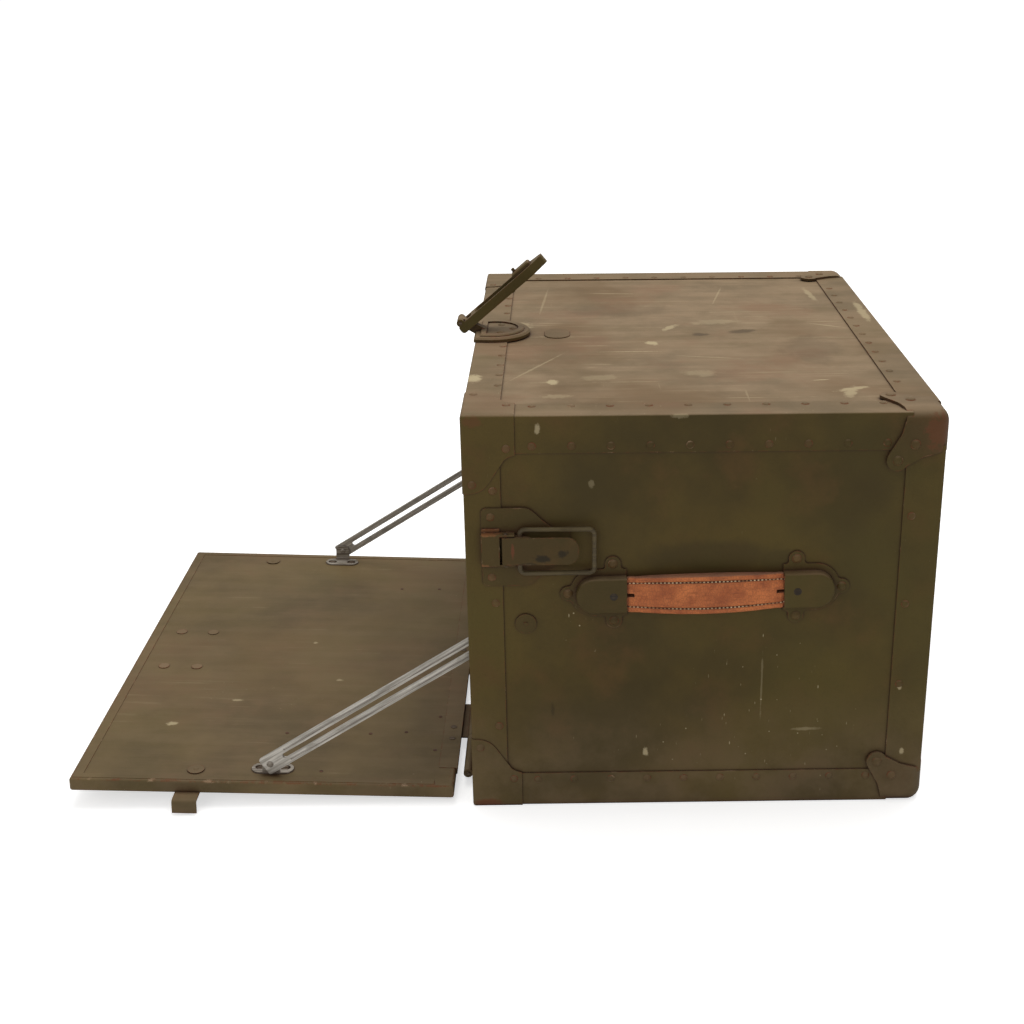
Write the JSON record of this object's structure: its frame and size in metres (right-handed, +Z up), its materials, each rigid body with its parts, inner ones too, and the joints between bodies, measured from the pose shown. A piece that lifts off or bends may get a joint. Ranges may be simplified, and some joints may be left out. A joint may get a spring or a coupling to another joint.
{
  "type": "footlocker",
  "caption": "Drop-front footlocker of painted board with riveted metal edging, corner plates, two leather handles, draw latches, slotted door stays and a hasp.",
  "frame": {"origin": "centre of the case's underside", "axes": "+X from the open front to the back, +Y from the near side to the far side, +Z up"},
  "size_m": [0.7302, 0.5334, 0.4232],
  "materials": {
    "boards": "olive drab paint over wood, dusty and scuffed",
    "rail": "olive drab paint, worn along the edge",
    "door": "faded olive paint, mottled and stained",
    "binding": "olive paint, rubbed bare on the corners",
    "edgings": "olive drab paint over steel, scuffed",
    "corner_plates": "olive paint with brown rust",
    "corner_clamps": "olive paint with rust patches",
    "rivets": "painted over, worn bright on the crowns",
    "plug": "olive paint, dusty",
    "hinge": "worn olive paint with rust",
    "pins": "aged steel",
    "screws": "aged steel, slots dark",
    "studs": "aged steel",
    "latch_plates": "olive paint, worn along the edges",
    "latch_housings": "olive paint worn to orange rust",
    "levers": "olive paint with pits of rust",
    "bails": "darkened steel wire",
    "handle_plates": "olive paint with rust at the rivets",
    "handle_caps": "olive paint, worn",
    "strap": "russet harness leather, dry and cracked",
    "hasp_mount": "olive paint, dusty, worn rim",
    "hasp": "olive paint, worn edges",
    "hasp_staple": "olive paint, worn edges",
    "lock_plate": "olive paint",
    "keepers": "olive paint with rust",
    "keeper_bolts": "faded paint over steel",
    "brackets": "worn zinced steel",
    "stays": "dull zinced steel",
    "nails": "rusty nail heads"
  },
  "bodies": {
    "case": {"back_corner_clamps": "corner_clamps", "front_corner_plates": "corner_plates", "top_side_edgings": "edgings", "bottom_side_edgings": "edgings", "top_back_edging": "edgings", "bottom_back_edging": "edgings", "top_front_edging": "edgings", "bottom_front_edging": "edgings", "back_upright_edgings": "edgings", "front_upright_edgings": "edgings", "base_board": "boards", "top_board": "boards", "side_board_near": "boards", "side_board_far": "boards", "back_board": "boards", "hinge_rail": "rail", "edging_rivets": "rivets", "corner_rivets": "rivets", "top_plug": "plug", "hinge_leaf_case": "hinge", "hinge_pin": "pins", "hinge_screws_case": "screws", "stay_studs": "studs", "latch_plate_near": "latch_plates", "latch_plate_far": "latch_plates", "latch_housing_near": "latch_housings", "latch_housing_far": "latch_housings", "latch_pins": "pins", "latch_and_mount_rivets": "rivets", "handle_plates": "handle_plates", "handle_caps": "handle_caps", "handle_studs": "studs", "handle_rivets": "rivets", "handle_strap_near": "strap", "handle_strap_far": "strap", "hasp_mount": "hasp_mount", "hasp_pin": "pins"},
    "door": {"hinge_leaf_door": "hinge", "lock_plate": "lock_plate", "door_board": "door", "door_binding": "binding", "lock_rivets": "rivets", "keeper_near": "keepers", "keeper_far": "keepers", "keeper_bolts": "keeper_bolts", "stay_bracket_near": "brackets", "stay_bracket_far": "brackets", "stay_pins": "studs", "bracket_screws": "screws", "hinge_screws_door": "screws", "door_nails": "nails"},
    "stay_near": {"stay_near": "stays"},
    "stay_far": {"stay_far": "stays"},
    "lever_near": {"latch_lever_near": "levers"},
    "lever_far": {"latch_lever_far": "levers"},
    "bail_near": {"latch_bail_near": "bails"},
    "bail_far": {"latch_bail_far": "bails"},
    "hasp": {"hasp": "hasp", "hasp_staple": "hasp_staple", "hasp_knob": "hasp_staple"}
  },
  "joints": [
    {"name": "door_hinge", "type": "hinge", "parent": "case", "child": "door", "pos_m": [-0.1973, 0, 0.0106], "axis": [0, 1, 0], "range_deg": [0, 87.83]},
    {"name": "stay_near_pivot", "type": "hinge", "parent": "door", "child": "stay_near", "pos_m": [-0.36515, -0.2375, 0.03367], "axis": [0, -1, 0], "range_deg": [0, 43.92]},
    {"name": "stay_far_pivot", "type": "hinge", "parent": "door", "child": "stay_far", "pos_m": [-0.36515, 0.2375, 0.03367], "axis": [0, -1, 0], "range_deg": [0, 43.92]},
    {"name": "lever_near_pivot", "type": "hinge", "parent": "case", "child": "lever_near", "pos_m": [-0.1575, -0.262, 0.2393], "axis": [0, 0, -1], "range_deg": [0, 100]},
    {"name": "bail_near_pivot", "type": "hinge", "parent": "lever_near", "child": "bail_near", "pos_m": [-0.1464, -0.2605, 0.2393], "axis": [0, 0, 1], "range_deg": [-180, 0]},
    {"name": "lever_far_pivot", "type": "hinge", "parent": "case", "child": "lever_far", "pos_m": [-0.1575, 0.262, 0.2393], "axis": [0, 0, 1], "range_deg": [0, 100]},
    {"name": "bail_far_pivot", "type": "hinge", "parent": "lever_far", "child": "bail_far", "pos_m": [-0.1464, 0.2605, 0.2393], "axis": [0, 0, -1], "range_deg": [-180, 0]},
    {"name": "hasp_hinge", "type": "hinge", "parent": "case", "child": "hasp", "pos_m": [-0.2045, 0, 0.3616], "axis": [0, -1, 0], "range_deg": [0, 229.7]}
  ],
  "couplings": [
    {"joint": "stay_near_pivot", "follows": "door_hinge", "ratio": 0.5},
    {"joint": "stay_far_pivot", "follows": "door_hinge", "ratio": 0.5}
  ]
}
